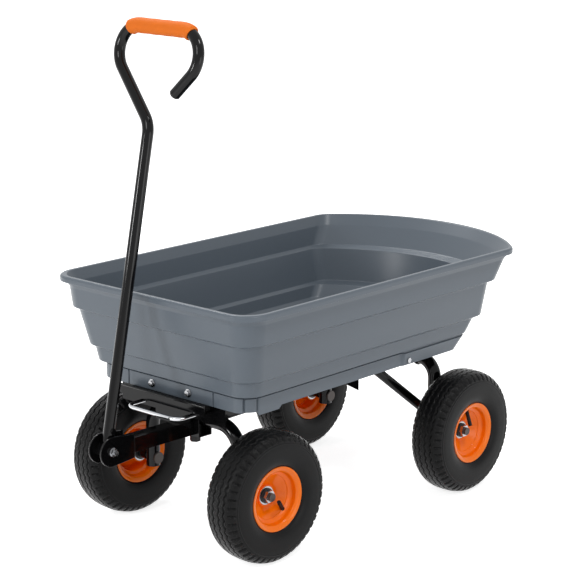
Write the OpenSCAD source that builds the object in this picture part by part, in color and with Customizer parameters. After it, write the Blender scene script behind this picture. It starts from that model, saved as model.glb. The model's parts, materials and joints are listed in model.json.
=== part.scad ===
/* [Wheels] */
// Outside diameter of each tyre
wheel_d = 260; // [240:1:280]
// Width of each tyre across its sidewalls
tyre_w = 82; // [74:1:90]
// Tread blocks round each shoulder of a tyre
tread_count = 36; // [24:1:44]
// Depth of the gaps between the tread blocks
tread_depth = 5; // [3:0.5:7]
// Diameter of the rim over its rolled edge
rim_d = 128; // [118:1:136]
// Width of the rim over its rolled edges
rim_w = 67; // [60:1:70]
// Sheet thickness of the rim
rim_t = 2.4; // [1.8:0.1:3]
// Diameter of the stub axles
axle_d = 16; // [12:0.5:18]
// Outside diameter of the wheel bearings
bearing_d = 36; // [32:1:40]
// Distance from the wheel's middle plane to the inner end of its hub
hub_in = 33; // [28:1:38]
// Distance from the wheel's middle plane to the outer end of its hub
hub_out = 2; // [0:0.5:6]

/* [Chassis] */
// Distance between the front and rear axles
wheelbase = 563; // [500:1:640]
// Distance between the middle planes of the front wheels
front_track = 398; // [370:1:430]
// Distance between the middle planes of the rear wheels
rear_track = 450; // [430:1:470]
// Outside diameter of the arched axle tubes
arch_d = 28; // [24:1:32]
// Wall of the arched axle tubes
arch_wall = 2.5; // [2:0.5:4]
// Height of the front arch's axis over the floor
front_arch_z = 245; // [230:1:250]
// Height of the rear arch's axis over the floor
rear_arch_z = 268; // [258:1:272]
// Bend radius of the front arch
front_bend_r = 52; // [40:1:60]
// Bend radius of the rear arch
rear_bend_r = 38; // [32:1:40]
// Length of the sleeve between an axle leg and a wheel hub
spacer_l = 24; // [16:1:30]
// Distance between the middles of the two rails
rail_gap = 190; // [180:1:200]
// Width of each rail
rail_w = 24; // [20:1:26]
// Height of each rail
rail_h = 22; // [18:1:22]
// Wall of each rail
rail_wall = 2; // [1.5:0.5:3]
// Diameter of the rear braces
brace_d = 20; // [16:1:22]

/* [Steering] */
// Angle to which the front axle is turned, positive to the left
steer = -2.87; // [-8:0.01:8]
// Diameter of the kingpin
kingpin_d = 12; // [10:0.5:14]
// Distance from the kingpin to the handle's pivot
draw_l = 224; // [210:1:260]
// Height of the drawbar's axis over the floor
draw_z = 226; // [224:1:228]
// Width of the drawbar
draw_w = 30; // [28:1:34]
// Height of the drawbar
draw_h = 29; // [28:1:34]
// Radius of the fork plates' round ends
fork_r = 29; // [26:0.5:34]

/* [Handle] */
// Lean of the upright handle towards the tub
handle_lean = 11.1; // [9:0.1:14]
// Diameter of the handle's tube
handle_d = 22; // [20:0.5:24]
// Wall of the handle's tube
handle_wall = 2; // [1.5:0.5:3]
// Length from the pivot to the foot of the loop
loop_foot = 617; // [560:1:660]
// Length from the pivot to the grip's axis
loop_top = 796; // [770:1:840]
// Half width of the loop between tube axes
loop_half_w = 110; // [95:1:120]
// Bend radius of the loop
loop_bend_r = 48; // [40:1:50]
// Length of the loop's free tail
loop_tail = 51; // [40:1:60]
// Diameter of the foam grip
grip_d = 30; // [26:1:34]

/* [Tub] */
// Length of the tub over its rim beyond the wheelbase
tub_over = 369; // [350:1:390]
// Width of the tub over its rim
tub_w = 542; // [536:1:560]
// Height of the rim's top over the floor
tub_top = 511; // [505:1:530]
// Distance from the kingpin forward to the rim's front edge
tub_ahead = 132; // [126:1:136]
// Wall of the tub
tub_wall = 4; // [3:0.5:5]
// Radius of the bowed rear end at the rim
bow_r = 352; // [330:1:400]
// Corner radius at the rim's front
front_corner_r = 52; // [44:1:60]
// Corner radius at the rim's rear
rear_corner_r = 46; // [40:1:60]
// Height of the tub's floor over the ground, on its underside
bed_z = 330; // [328:1:334]
// Height of the lower edge of the skirt
skirt_z = 303; // [300:1:306]
// Diameter of the rod that the tub tips on
pivot_d = 12; // [10:0.5:14]
// Distance from the rear axle back to the tipping rod
pivot_back = 16; // [12:1:20]
// Height of the tipping rod over the floor
pivot_z = 306; // [302:1:308]

/* [Latch] */
// Diameter of the bail's wire
bail_d = 8; // [6:0.5:9]
// Distance between the two arms of the bail
bail_w = 140; // [130:1:146]
// Height of the bail over the floor
bail_z = 277; // [275:0.5:280]
// Distance that the bail stands out from the front crossmember
bail_out = 57; // [50:1:64]
// Travel that frees the tub
bail_travel = 15; // [12:1:16]
// Turns of each latch spring
spring_turns = 6; // [5:1:7]
// Wire of each latch spring
spring_wire = 1.6; // [1.2:0.1:1.8]

/* [Hidden] */
$fn = 48;
// Overlap that fuses two shapes of one piece, and overrun of cuts
eps = 0.05;
over = 1;
// Clearances: running shafts, seated pieces, flat faces that move past each other
run_gap = 0.06;
seat_gap = 0.15;
face_gap = 0.3;
hex_sides = 6;

tub_grey = "#6b737b";
frame_black = "#1b1c1e";
zinc = "#c9ccd0";
rubber_black = "#242426";
rim_orange = "#f0701a";
grip_orange = "#ec7a30";

wheel_r = wheel_d / 2;
axle_r = axle_d / 2;
arch_r = arch_d / 2;
fork_t = 4;
turn_t = 4;
rail_top = rear_arch_z + rail_h;
rail_y = rail_gap / 2;

// The origin lies on the floor under the middle of the part's box
tub_x0 = -tub_ahead;
tub_x1 = wheelbase + tub_over - tub_ahead;
fork_x = (draw_l + fork_r) * cos(steer) + (draw_w / 2 + fork_t) * abs(sin(steer));
mid_x = (tub_x1 - fork_x) / 2;

module cart() {
    translate([-mid_x, 0, 0])
        children();
}

module steered() {
    cart()
        rotate([0, 0, steer])
            children();
}

module rear() {
    cart()
        translate([wheelbase, 0, 0])
            children();
}

module both_sides() {
    children();
    mirror([0, 1, 0])
        children();
}

// Turns a shape that stands along Z so that it lies along Y
module lay_y() {
    rotate([-90, 0, 0])
        children();
}

// Turns a flat outline drawn in x and z into a plate of thickness t that starts at y
module plate_xz(y, t) {
    translate([0, y + t, 0])
        rotate([90, 0, 0])
            linear_extrude(height = t)
                children();
}

module hex_bolt(head_af, head_h, shank_r, shank_l) {
    cylinder(h = head_h, d = head_af / cos(180 / hex_sides), $fn = hex_sides);
    translate([0, 0, -shank_l])
        cylinder(h = shank_l + eps, r = shank_r);
}

module hex_nut(af, h, bore_r) {
    difference() {
        cylinder(h = h, d = af / cos(180 / hex_sides), $fn = hex_sides);
        translate([0, 0, -over])
            cylinder(h = h + 2 * over, r = bore_r);
    }
}

module ring(h, r_out, r_in) {
    linear_extrude(height = h)
        annulus(r_out, r_in);
}

module annulus(r_out, r_in) {
    difference() {
        circle(r = r_out);
        circle(r = r_in);
    }
}

module tube_bend(bend_r, turn, r_out, r_in) {
    rotate_extrude(angle = turn)
        translate([bend_r, 0])
            annulus(r_out, r_in);
}

// A flat link: two round ends joined by their outer tangents
module link_plate(a, r_a, b, r_b) {
    v = b - a;
    base = atan2(v[1], v[0]);
    tilt = acos((r_a - r_b) / norm(v));
    up = [cos(base + tilt), sin(base + tilt)];
    down = [cos(base - tilt), sin(base - tilt)];
    translate(a)
        circle(r = r_a);
    translate(b)
        circle(r = r_b);
    polygon([a + r_a * up, b + r_b * up, b + r_b * down, a + r_a * down]);
}

// Tub: one rounded outline with a bowed rear end, set in by the steps of the wall and stacked into a shell
corner_steps = 7;
bow_steps = 14;
corner_shrink_share = 0.21;
rim_lip = 12;
rim_roll = 3;
rim_land = 7;
skirt_inset = 66;
apron_inset = 63;
apron_rear_inset = 168;
bed_apron_inset = 58;
bed_rear_inset = 141;
step_ahead = 181;
step_run = 10;
step_x = wheelbase - step_ahead;
foot_drop = 7;
foot_x = 21;
foot_run_out = 8;
front_drop = 2;
front_skirt_z = skirt_z - front_drop;
ledge_1 = 67;
ledge_2 = 144;
base_step = 173;
ledge_rise = 2.5;

// Each level of the outer wall: height, inset of the front and sides, of the sides behind the skirt, of the rear
wall_low = [
    [skirt_z, skirt_inset, apron_inset, apron_rear_inset],
    [bed_z, skirt_inset, bed_apron_inset, bed_rear_inset]
];
base_insets = [55, 135];
tier_3_insets = [50, 113];
tier_2_low_insets = [42, 90];
tier_2_top_insets = [27, 76];
tier_1_low_insets = [18, 55];
tier_1_top_insets = [14, 26];
lip_insets = [10, 14];
rim_insets = [0, 0];

function even_level(z, insets) = [z, insets[0], insets[0], insets[1]];

wall_tiers = [
    even_level(tub_top - base_step, base_insets),
    even_level(tub_top - ledge_2 - ledge_rise, tier_3_insets),
    even_level(tub_top - ledge_2 + ledge_rise, tier_2_low_insets),
    even_level(tub_top - ledge_1 - ledge_rise, tier_2_top_insets),
    even_level(tub_top - ledge_1 + ledge_rise, tier_1_low_insets),
    even_level(tub_top - 2 * rim_lip, tier_1_top_insets)
];
rim_levels = [
    even_level(tub_top - rim_lip - rim_roll, lip_insets),
    even_level(tub_top - rim_lip, rim_insets),
    even_level(tub_top - rim_roll, rim_insets)
];

function corner_arc(c, r, a0, a1) = [
    for (i = [0 : corner_steps])
        let (a = a0 + (a1 - a0) * i / corner_steps)
            c + r * [cos(a), sin(a)]
];

// Half of the outline, from the front corner round to the middle of the rear
function half_outline(front, side, apron, back) =
    let (
        y = tub_w / 2 - side,
        ya = tub_w / 2 - apron,
        x0 = tub_x0 + front,
        rf = front_corner_r - front * corner_shrink_share,
        rr = rear_corner_r - apron * corner_shrink_share,
        bow_x = tub_x1 - back - bow_r,
        turn = asin((ya - rr) / (bow_r - rr)),
        corner = [bow_x + (bow_r - rr) * cos(turn), ya - rr]
    )
    concat(
        corner_arc([x0 + rf, y - rf], rf, 180, 90),
        [[foot_x, y], [foot_x + foot_run_out, y], [step_x, y], [step_x + step_run, ya]],
        corner_arc(corner, rr, 90, turn),
        [for (i = [1 : bow_steps / 2])
            let (a = turn * (1 - 2 * i / bow_steps))
                [bow_x + bow_r * cos(a), bow_r * sin(a)]]
    );

// How far the skirt's lower edge hangs at a point of the half outline: the front, then the foot behind the corner
function hang(i) = i < corner_steps / 2 ? front_drop : i == corner_steps || i == corner_steps + 1 ? foot_drop : 0;

function half_ring(level, inset, lift, low) =
    let (p = half_outline(level[1] + inset, level[1] + inset, level[2] + inset, level[3] + inset))
        [for (i = [0 : len(p) - 1]) [p[i][0], p[i][1], level[0] + lift - low * hang(i)]];

function mirrored(p) = [for (i = [len(p) - 2 : -1 : 0]) [p[i][0], -p[i][1], p[i][2]]];

function level_ring(level, inset, lift, low = 0) =
    let (half = half_ring(level, inset, lift, low))
        concat(half, mirrored(half));

// From the underside of the bed, out and up over the rim, then down the inside to the top of the bed
tub_rings = concat(
    [level_ring(wall_low[1], tub_wall, 0)],
    [level_ring(wall_low[0], tub_wall, 0, 1)],
    [level_ring(wall_low[0], 0, 0, 1)],
    [level_ring(wall_low[1], 0, 0)],
    [for (level = wall_tiers) level_ring(level, 0, 0)],
    [for (level = rim_levels) level_ring(level, 0, 0)],
    [level_ring(even_level(tub_top, rim_insets), rim_roll, 0)],
    [level_ring(even_level(tub_top, rim_insets), rim_roll + rim_land, 0)],
    [for (i = [len(wall_tiers) - 1 : -1 : 1]) level_ring(wall_tiers[i], tub_wall, tub_wall / 2)],
    [level_ring(even_level(bed_z + 3 * tub_wall, base_insets), tub_wall, 0)],
    [level_ring(even_level(bed_z + tub_wall, base_insets), 3 * tub_wall, 0)]
);

module ring_stack(rings) {
    n = len(rings[0]);
    m = len(rings);
    walls = [
        for (j = [0 : m - 2])
            for (i = [0 : n - 1])
                let (k = (i + 1) % n)
                    each [
                        [j * n + i, j * n + k, (j + 1) * n + i],
                        [j * n + k, (j + 1) * n + k, (j + 1) * n + i]
                    ]
    ];
    caps = [
        [for (i = [n - 1 : -1 : 0]) i],
        [for (i = [0 : n - 1]) (m - 1) * n + i]
    ];
    polyhedron(points = [for (r = rings) each r], faces = concat(walls, caps), convexity = 8);
}

skirt_x = tub_x0 + skirt_inset;
rib_t = 4;
rib_h = 8;
rib_short = 47;
rib_clear = 3;
rib_gap = 104;
rib_count = 4;
slot_w = 2.4;
slot_deep = 1.6;
slot_y = 116;

module tub() {
    spans = [
        [0, crossbar_x - crossbar_w / 2 - rib_clear],
        [crossbar_x + crossbar_w / 2 + rib_clear, wheelbase - rib_short]
    ];
    color(tub_grey) cart() difference() {
        union() {
            ring_stack(tub_rings);
            for (i = [0 : rib_count - 1])
                for (span = spans)
                    translate([span[0], (i - (rib_count - 1) / 2) * rib_gap - rib_t / 2, bed_z - rib_h])
                        cube([span[1] - span[0], rib_t, rib_h + eps]);
        }
        for (s = [-1, 1])
            translate([skirt_x - over, s * keeper_bolt_y, keeper_bolt_z])
                rotate([0, 90, 0])
                    cylinder(h = tub_wall + 2 * over, r = bolt_r + seat_gap);
        for (s = [-1, 1])
            translate([skirt_x - over, s * slot_y - slot_w / 2, front_skirt_z - over])
                cube([slot_deep + over, slot_w, bed_z - front_skirt_z]);
        translate([crossbar_x, -tub_w / 2, crossbar_bolt_z])
            lay_y()
                cylinder(h = tub_w, r = bolt_r + seat_gap);
        hinge_places()
            translate([0, 0, bed_z + tub_wall - face_gap])
                sunk_hole(tub_wall + over);
    }
}

// Fasteners of the tub
bolt_r = 3;
bolt_af = 10;
bolt_head = 4.5;
flange_r = 8;
flange_t = 1.6;

module flange_bolt(grip) {
    cylinder(h = flange_t, r = flange_r);
    translate([0, 0, flange_t - eps])
        hex_bolt(bolt_af, bolt_head, bolt_r, grip + flange_t - eps);
}

// Flat-headed bolt that hangs down from the middle of its head, and the hole that it sits in
sunk_r = 6.5;
sunk_h = 2.8;

module sunk_bolt(grip) {
    translate([0, 0, -sunk_h])
        cylinder(h = sunk_h, r1 = bolt_r, r2 = sunk_r);
    translate([0, 0, -grip])
        cylinder(h = grip - sunk_h + eps, r = bolt_r);
}

module sunk_hole(grip) {
    cylinder(h = face_gap + over, r = sunk_r + seat_gap);
    translate([0, 0, -sunk_h])
        cylinder(h = sunk_h + eps, r1 = bolt_r + seat_gap, r2 = sunk_r + seat_gap);
    translate([0, 0, -grip])
        cylinder(h = grip, r = bolt_r + seat_gap);
}

// Crossbar under the bed, which rests on the rails' pads
crossbar_ahead = 158;
crossbar_x = wheelbase - crossbar_ahead;
crossbar_w = 24;
crossbar_t = 2.5;
crossbar_bolt_up = 6;
crossbar_z = skirt_z + face_gap;
crossbar_bolt_z = crossbar_z + crossbar_bolt_up + bolt_r;
crossbar_h = bed_z - seat_gap - crossbar_z;
apron_y = tub_w / 2 - apron_inset - tub_wall;
crossbar_y = apron_y - face_gap;

module tub_crossbar() {
    color(frame_black) cart() translate([crossbar_x, 0, crossbar_z]) difference() {
        translate([-crossbar_w / 2, -crossbar_y, 0])
            cube([crossbar_w, 2 * crossbar_y, crossbar_h]);
        translate([-crossbar_w / 2 + crossbar_t, -crossbar_y + crossbar_t, crossbar_t])
            cube([crossbar_w - 2 * crossbar_t, 2 * (crossbar_y - crossbar_t), crossbar_h - 2 * crossbar_t]);
        translate([0, -crossbar_y - over, crossbar_bolt_z - crossbar_z])
            lay_y()
                cylinder(h = 2 * (crossbar_y + over), r = bolt_r + seat_gap);
    }
}

apron_lean = (apron_inset - bed_apron_inset) / (bed_z - skirt_z);
crossbar_head_y = tub_w / 2 - apron_inset + apron_lean * (crossbar_bolt_z + bolt_af / 2 - skirt_z) + seat_gap;

module crossbar_bolts() {
    color(zinc) cart() both_sides()
        translate([crossbar_x, crossbar_head_y, crossbar_bolt_z])
            lay_y()
                hex_bolt(bolt_af, flange_t, bolt_r, crossbar_head_y - crossbar_y + 3 * crossbar_t);
}

// Keeper: a stepped sheet bolted behind the front skirt, whose tongue takes the bail's two ends
sheet_t = 3;
keeper_bolt_y = 50;
keeper_bolt_up = 14;
keeper_bolt_z = front_skirt_z + keeper_bolt_up;
keeper_half_w = 79;
keeper_reach = 45;
keeper_clear = 5;
keeper_x = skirt_x + tub_wall;
tongue_x = keeper_x + keeper_reach - sheet_t;
tongue_clear = 2;
tongue_z = rail_top - rail_h + tongue_clear;
pin_play = 0.7;

module latch_keeper() {
    color(frame_black) cart() difference() {
        plate_xz(-keeper_half_w, 2 * keeper_half_w)
            polygon([
                [keeper_x, web_top + keeper_clear],
                [keeper_x, bed_z - seat_gap],
                [tongue_x + sheet_t, bed_z - seat_gap],
                [tongue_x + sheet_t, tongue_z],
                [tongue_x, tongue_z],
                [tongue_x, bed_z - seat_gap - sheet_t],
                [keeper_x + sheet_t, bed_z - seat_gap - sheet_t],
                [keeper_x + sheet_t, web_top + keeper_clear]
            ]);
        for (s = [-1, 1]) {
            translate([keeper_x - over, s * keeper_bolt_y, keeper_bolt_z])
                rotate([0, 90, 0])
                    cylinder(h = sheet_t + 2 * over, r = bolt_r + seat_gap);
            translate([tongue_x - over, s * bail_w / 2, bail_z])
                rotate([0, 90, 0])
                    cylinder(h = sheet_t + 2 * over, r = bail_d / 2 + pin_play);
        }
    }
}

module keeper_bolts() {
    color(zinc) cart() for (s = [-1, 1])
        translate([skirt_x, s * keeper_bolt_y, keeper_bolt_z])
            rotate([0, -90, 0])
                flange_bolt(tub_wall + 3 * sheet_t);
}

// Hinge: brackets under the bed turn on a rod that the chassis carries
pivot_r = pivot_d / 2;
pivot_x = wheelbase + pivot_back;
ear_t = 5;
ear_r = 14;
ear_rim = 3;
ear_gap = 1.5;
hinge_gap = 2;
ear_y = rail_y + rail_w / 2 + ear_gap;
hinge_y = ear_y + ear_t + hinge_gap;
hinge_foot_w = 28;
hinge_foot_l = 72;
hinge_bolt_gap = 56;
hinge_end_y = hinge_y + ear_t;

module hinge_places() {
    for (s = [-1, 1])
        for (e = [-1, 1])
            translate([pivot_x + e * hinge_bolt_gap / 2, s * (hinge_y + hinge_foot_w / 2 + ear_t / 2), 0])
                children();
}

module hinge_brackets() {
    color(frame_black) cart() difference() {
        both_sides() {
            translate([pivot_x - hinge_foot_l / 2, hinge_y, bed_z - seat_gap - sheet_t])
                cube([hinge_foot_l, hinge_foot_w, sheet_t]);
            plate_xz(hinge_y, ear_t) {
                translate([pivot_x, pivot_z])
                    circle(r = ear_r - face_gap);
                polygon([
                    [pivot_x - ear_r + face_gap, pivot_z],
                    [pivot_x + ear_r - face_gap, pivot_z],
                    [pivot_x + hinge_foot_l / 3, bed_z - seat_gap - sheet_t + eps],
                    [pivot_x - hinge_foot_l / 3, bed_z - seat_gap - sheet_t + eps]
                ]);
            }
        }
        translate([pivot_x, -tub_w / 2, pivot_z])
            lay_y()
                cylinder(h = tub_w, r = pivot_r + run_gap);
        hinge_places()
            translate([0, 0, bed_z - sheet_t - seat_gap - over])
                cylinder(h = sheet_t + 2 * over, r = bolt_r + seat_gap);
    }
}

module hinge_bolts() {
    color(zinc) cart() hinge_places()
        translate([0, 0, bed_z + tub_wall - face_gap])
            sunk_bolt(tub_wall + 3 * sheet_t);
}

// Chassis: two rails between the front crossmember and the rear arch
cross_t = 3;
cross_gap = 2;
cross_x = skirt_x + tub_wall + cross_gap;
gusset_t = 4;
gusset_x = 370;
gusset_l = 60;
gusset_h = 33;

module rail(s) {
    color(frame_black) cart() translate([0, s * rail_y, 0]) difference() {
        union() {
            translate([cross_x + cross_t, -rail_w / 2, rail_top - rail_h])
                cube([wheelbase - cross_x - cross_t, rail_w, rail_h]);
            plate_xz(s > 0 ? rail_w / 2 - gusset_t : -rail_w / 2, gusset_t)
                polygon([
                    [gusset_x - gusset_l, rail_top - rail_h + eps],
                    [gusset_x, rail_top - rail_h + eps],
                    [gusset_x, rail_top - rail_h - gusset_h]
                ]);
        }
        translate([cross_x + cross_t - over, -rail_w / 2 + rail_wall, rail_top - rail_h + rail_wall])
            cube([wheelbase, rail_w - 2 * rail_wall, rail_h - 2 * rail_wall]);
        translate([wheelbase, -rail_w, rear_arch_z])
            lay_y()
                cylinder(h = 2 * rail_w, r = arch_r + seat_gap);
    }
}

// Front crossmember: a wide web with a forward tray that the tub's front skirt drops into
web_half_w = 142;
tray_half_w = 115;
web_bottom = rear_arch_z - turn_t;
web_top = skirt_z - cross_t;
tab_half_w = 48;
tab_clear = 3;
tab_bottom = draw_z + draw_h / 2 + tab_clear;
tray_reach = 30;
tray_drop = 12;
lip_h = 20;
lip_r = 2.5;

module front_crossmember() {
    tray_x = cross_x - tray_reach;
    tray_z = web_top - tray_drop;
    color(frame_black) cart() difference() {
        union() {
            translate([cross_x, -web_half_w, web_bottom])
                cube([cross_t, 2 * web_half_w, web_top - web_bottom]);
            translate([cross_x, -tab_half_w, tab_bottom])
                cube([cross_t, 2 * tab_half_w, web_top - tab_bottom]);
            plate_xz(-tray_half_w, 2 * tray_half_w) {
                translate([tray_x, tray_z])
                    square([tray_reach + eps, cross_t]);
                translate([tray_x, tray_z])
                    square([cross_t, lip_h - lip_r]);
                translate([tray_x + cross_t - lip_r, tray_z + lip_h - lip_r])
                    circle(r = lip_r);
            }
        }
        for (s = [-1, 1])
            translate([cross_x - over, s * bail_w / 2, bail_z])
                rotate([0, 90, 0])
                    cylinder(h = cross_t + 2 * over, r = bail_d / 2 + run_gap);
    }
}

// Turntable: the plate under the rails that the kingpin hangs from
kingpin_r = kingpin_d / 2;
turn_l = 114;

module turntable_plate() {
    color(frame_black) cart() difference() {
        translate([cross_x + cross_t, -rail_y - rail_w / 2, rail_top - rail_h - turn_t])
            cube([turn_l, rail_gap + rail_w, turn_t]);
        translate([0, 0, rail_top - rail_h - turn_t - over])
            cylinder(h = turn_t + 2 * over, r = kingpin_r + seat_gap);
    }
}

// Arched axle: a tube bent down at both ends into legs that carry the stub axles
leg_tail = 18;
stub_head_r = 12;
stub_head_t = 4;
hub_gap = face_gap;
washer_t = 2.2;
washer_r = 15;
axle_nut_af = 22;
axle_nut_h = 9;
axle_tip = 19;

function leg_y(track) = track / 2 - hub_in - spacer_l - arch_r;

module arch(y, z, bend_r) {
    flat = y - bend_r;
    foot = wheel_r - leg_tail;
    difference() {
        union() {
            translate([0, -flat, z])
                lay_y()
                    ring(2 * flat, arch_r, arch_r - arch_wall);
            both_sides() {
                translate([0, flat, z - bend_r])
                    rotate([90, 0, 90])
                        tube_bend(bend_r, 90, arch_r, arch_r - arch_wall);
                translate([0, y, foot])
                    ring(z - bend_r - foot, arch_r, arch_r - arch_wall);
                translate([0, y, foot])
                    cylinder(h = arch_wall, r = arch_r);
            }
        }
        translate([0, -2 * y, wheel_r])
            lay_y()
                cylinder(h = 4 * y, r = axle_r + seat_gap);
    }
}

module rear_arch() {
    color(frame_black) rear()
        arch(leg_y(rear_track), rear_arch_z, rear_bend_r);
}

module front_arch() {
    color(frame_black) steered() difference() {
        arch(leg_y(front_track), front_arch_z, front_bend_r);
        translate([0, 0, front_arch_z - arch_d])
            cylinder(h = 2 * arch_d, r = kingpin_r + run_gap);
    }
}

module stub_axles(track) {
    start = leg_y(track) - arch_r - stub_head_t;
    color(frame_black) both_sides()
        translate([0, start, wheel_r])
            lay_y() {
                cylinder(h = stub_head_t - seat_gap, r = stub_head_r);
                cylinder(h = track / 2 + axle_tip - start, r = axle_r);
            }
}

module spacers(track) {
    start = leg_y(track) + arch_r + seat_gap;
    color(frame_black) both_sides()
        translate([0, start, wheel_r])
            lay_y()
                ring(spacer_l - washer_t - hub_gap - 2 * seat_gap, axle_r + rim_t, axle_r + seat_gap);
}

module axle_washers(track) {
    color(zinc) both_sides()
        for (y = [track / 2 - hub_in - hub_gap - washer_t, track / 2 + hub_out + hub_gap])
            translate([0, y, wheel_r])
                lay_y()
                    ring(washer_t, washer_r, axle_r + seat_gap);
}

module axle_nuts(track) {
    color(zinc) both_sides()
        translate([0, track / 2 + hub_out + hub_gap + washer_t + seat_gap, wheel_r])
            lay_y()
                hex_nut(axle_nut_af, axle_nut_h, axle_r + seat_gap);
}

// Braces from the rails down to the rear legs
brace_ahead = 143;
brace_up = 8;
brace_foot_up = 13;

module rear_braces() {
    leg = leg_y(rear_track);
    a = [wheelbase - brace_ahead, rail_y, rail_top - rail_h + brace_up];
    b = [wheelbase, leg, wheel_r + brace_foot_up];
    v = b - a;
    color(frame_black) cart() both_sides() difference() {
        translate(a)
            rotate([0, acos(v[2] / norm(v)), atan2(v[1], v[0])])
                cylinder(h = norm(v), d = brace_d);
        translate([a[0] - 2 * brace_d, rail_y - rail_w / 2 - seat_gap, rail_top - rail_h - seat_gap])
            cube([4 * brace_d, rail_w + 2 * seat_gap, 2 * rail_h]);
        translate([wheelbase, leg, 0])
            cylinder(h = rear_arch_z, r = arch_r + seat_gap);
    }
}

// Ears on the rear arch, with the rod that the tub tips on
module pivot_ears() {
    color(frame_black) cart() both_sides() difference() {
        plate_xz(ear_y, ear_t)
            link_plate([wheelbase, rear_arch_z], arch_r + ear_rim, [pivot_x, pivot_z], ear_r);
        translate([wheelbase, 0, rear_arch_z])
            lay_y()
                cylinder(h = tub_w, r = arch_r + seat_gap);
        translate([pivot_x, 0, pivot_z])
            lay_y()
                cylinder(h = tub_w, r = pivot_r + seat_gap);
    }
}

pivot_nut_af = 18;
pivot_nut_h = 8;

module pivot_rod() {
    end = hinge_end_y + face_gap + pivot_nut_h + over;
    color(zinc) cart()
        translate([pivot_x, -end, pivot_z])
            lay_y()
                cylinder(h = 2 * end, r = pivot_r);
}

module pivot_nuts() {
    color(zinc) cart() both_sides()
        translate([pivot_x, hinge_end_y + face_gap, pivot_z])
            lay_y()
                hex_nut(pivot_nut_af, pivot_nut_h, pivot_r + seat_gap);
}

// Rubber that the tub rests on: a block on each rail and a strip in the front tray
pad_l = 30;
strip_w = 12;

module rubber_pads() {
    color(rubber_black) cart() {
        both_sides()
            translate([crossbar_x - pad_l / 2, rail_y - rail_w / 2 + rail_wall, rail_top])
                cube([pad_l, rail_w - 2 * rail_wall, crossbar_z - face_gap - rail_top]);
        translate([cross_x - face_gap - strip_w, -tray_half_w + strip_w, web_top - tray_drop + cross_t])
            cube([strip_w, 2 * (tray_half_w - strip_w), front_skirt_z - face_gap - web_top + tray_drop - cross_t]);
    }
}

// Kingpin: a bolt down through the turntable, the saddle and the front arch
saddle_t = 3;
saddle_half_w = 30;
saddle_x = arch_r + seat_gap + saddle_t;
saddle_top = front_arch_z + arch_r + seat_gap + saddle_t;
saddle_bottom = draw_z - draw_h / 2 - saddle_t;
kingpin_af = 19;
kingpin_head = 8;
kingpin_nut_h = 13;
kingpin_washer_r = 12;
thrust_r = 25;
nut_z = saddle_bottom - face_gap - washer_t - kingpin_nut_h - seat_gap;

module kingpin() {
    color(zinc) cart()
        translate([0, 0, rail_top - rail_h])
            hex_bolt(kingpin_af, kingpin_head, kingpin_r, rail_top - rail_h - nut_z + over);
}

module kingpin_washer() {
    color(zinc) cart()
        translate([0, 0, saddle_bottom - face_gap - washer_t])
            ring(washer_t, kingpin_washer_r, kingpin_r + seat_gap);
}

module kingpin_nut() {
    color(frame_black) cart()
        translate([0, 0, nut_z])
            hex_nut(kingpin_af, kingpin_nut_h, kingpin_r + seat_gap);
}

module axle_saddle() {
    color(frame_black) steered() difference() {
        translate([-saddle_x, -saddle_half_w, saddle_bottom])
            cube([2 * saddle_x, 2 * saddle_half_w, saddle_top - saddle_bottom]);
        translate([-saddle_x + saddle_t, -saddle_half_w - over, saddle_bottom + saddle_t])
            cube([
                2 * (saddle_x - saddle_t),
                2 * (saddle_half_w + over),
                saddle_top - saddle_bottom - 2 * saddle_t
            ]);
        translate([0, 0, saddle_bottom - over])
            cylinder(h = saddle_top - saddle_bottom + 2 * over, r = kingpin_r + run_gap);
    }
}

module thrust_washer() {
    color(rubber_black) steered()
        translate([0, 0, saddle_top])
            ring(rail_top - rail_h - turn_t - face_gap - saddle_top, thrust_r, kingpin_r + seat_gap);
}

// Drawbar: a box tube whose front end stops the upright handle, with a fork of two plates
handle_r = handle_d / 2;
draw_wall = 2;
draw_end = draw_l - draw_h / 2 * tan(handle_lean) - handle_r / cos(handle_lean) - face_gap;
fork_back = 54;
fork_back_h = 47;
pin_r = 4.5;
pin_af = 14;
pin_head = 6.5;
pin_flange = 9;
pin_end = 5;

module drawbar() {
    color(frame_black) steered() translate([-draw_end, -draw_w / 2, draw_z - draw_h / 2]) difference() {
        cube([draw_end - saddle_x, draw_w, draw_h]);
        translate([draw_wall, draw_wall, draw_wall])
            cube([draw_end, draw_w - 2 * draw_wall, draw_h - 2 * draw_wall]);
    }
}

module drawbar_fork() {
    color(frame_black) steered() both_sides() difference() {
        plate_xz(draw_w / 2, fork_t) {
            translate([-draw_l, draw_z])
                circle(r = fork_r);
            polygon([
                [-draw_l, draw_z - fork_r],
                [-draw_l, draw_z + fork_r],
                [-draw_l + fork_back, draw_z + fork_back_h / 2],
                [-draw_l + fork_back, draw_z - fork_back_h / 2]
            ]);
        }
        translate([-draw_l, 0, draw_z])
            lay_y()
                cylinder(h = draw_w, r = pin_r + seat_gap);
    }
}

module handle_bolt() {
    color(zinc) steered()
        translate([-draw_l, draw_w / 2 + fork_t + seat_gap, draw_z])
            lay_y()
                hex_bolt(pin_af, pin_head, pin_r, draw_w + 2 * (fork_t + seat_gap) + pin_head + pin_end);
}

module handle_nut() {
    color(zinc) steered()
        translate([-draw_l, -draw_w / 2 - fork_t - seat_gap, draw_z])
            rotate([90, 0, 0]) {
                ring(flange_t, pin_flange, pin_r + seat_gap);
                hex_nut(pin_af, pin_head, pin_r + seat_gap);
            }
}

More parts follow.
